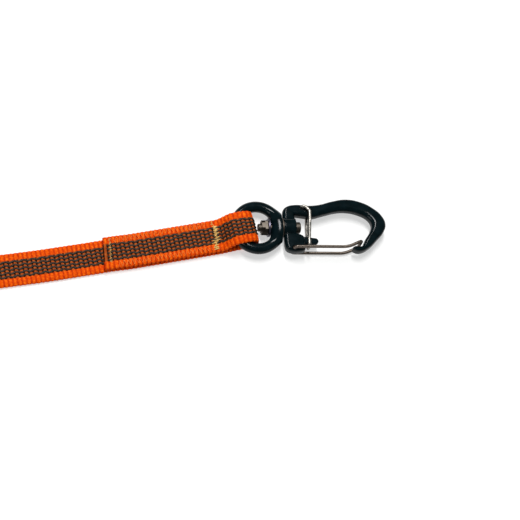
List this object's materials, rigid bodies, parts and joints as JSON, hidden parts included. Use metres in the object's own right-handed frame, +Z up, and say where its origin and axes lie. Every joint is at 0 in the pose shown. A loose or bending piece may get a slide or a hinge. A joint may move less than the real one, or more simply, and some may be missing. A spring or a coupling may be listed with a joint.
{
  "type": "webbing lead with swivel carabiner",
  "caption": "Grip-strand webbing lead with a sewn end loop through a swivel eye, ending in a black wire-gate carabiner with a keeper wire across its notch; the far end is a sewn hand loop",
  "frame": {"origin": "under the middle of the clip end (carabiner, swivel and sewn overlap), on the surface it lies on", "axes": "+X along the swivel's axis towards the carabiner's bend, +Y towards its spine, +Z up"},
  "size_m": [0.3923, 0.148, 0.019],
  "materials": {
    "black_metal": "glossy black anodised",
    "steel": "polished stainless steel",
    "webbing": "woven orange nylon with dark rubber strands",
    "thread": "tan sewing thread"
  },
  "bodies": {
    "strap": {"webbing_overlap": "webbing", "front_bar_tack": "thread", "rear_bar_tack": "thread", "near_edge_seam": "thread", "far_edge_seam": "thread", "webbing_lead": "webbing", "webbing_coil": "webbing", "hand_loop": "webbing", "hand_loop_tack": "thread"},
    "loop": {"webbing_bight": "webbing"},
    "eye": {"swivel_eye": "black_metal", "thrust_washer": "steel"},
    "carabiner": {"carabiner_body": "black_metal", "swivel_pin": "steel", "swivel_nut": "steel", "nut_washer": "steel"},
    "gate": {"wire_gate": "steel"},
    "keeper": {"keeper_wire": "steel"}
  },
  "joints": [
    {"name": "loop_flex", "type": "hinge", "parent": "strap", "child": "loop", "pos_m": [-0.01283, 0.0003, 0.0024], "axis": [0.1771, -0.9842, 0], "range_deg": [-45, 45]},
    {"name": "eye_swing", "type": "hinge", "parent": "loop", "child": "eye", "pos_m": [-0.00565, 0.00159, 0.00585], "axis": [0.1771, -0.9842, 0], "range_deg": [-4, 4]},
    {"name": "swivel", "type": "hinge", "parent": "eye", "child": "carabiner", "pos_m": [0.01746, 0.00377, 0.00585], "axis": [1, 0, 0], "continuous": true},
    {"name": "gate_hinge", "type": "hinge", "parent": "carabiner", "child": "gate", "pos_m": [0.02586, -0.00943, 0.00585], "axis": [0, 0, 1], "range_deg": [0, 20], "stiffness_Nm_per_rad": 0.06, "springref_deg": -20.05},
    {"name": "keeper_hinge", "type": "hinge", "parent": "carabiner", "child": "keeper", "pos_m": [0.03206, 0.01507, 0.00585], "axis": [0, 0, 1], "range_deg": [0, 30], "stiffness_Nm_per_rad": 0.02, "springref_deg": -20.05}
  ]
}
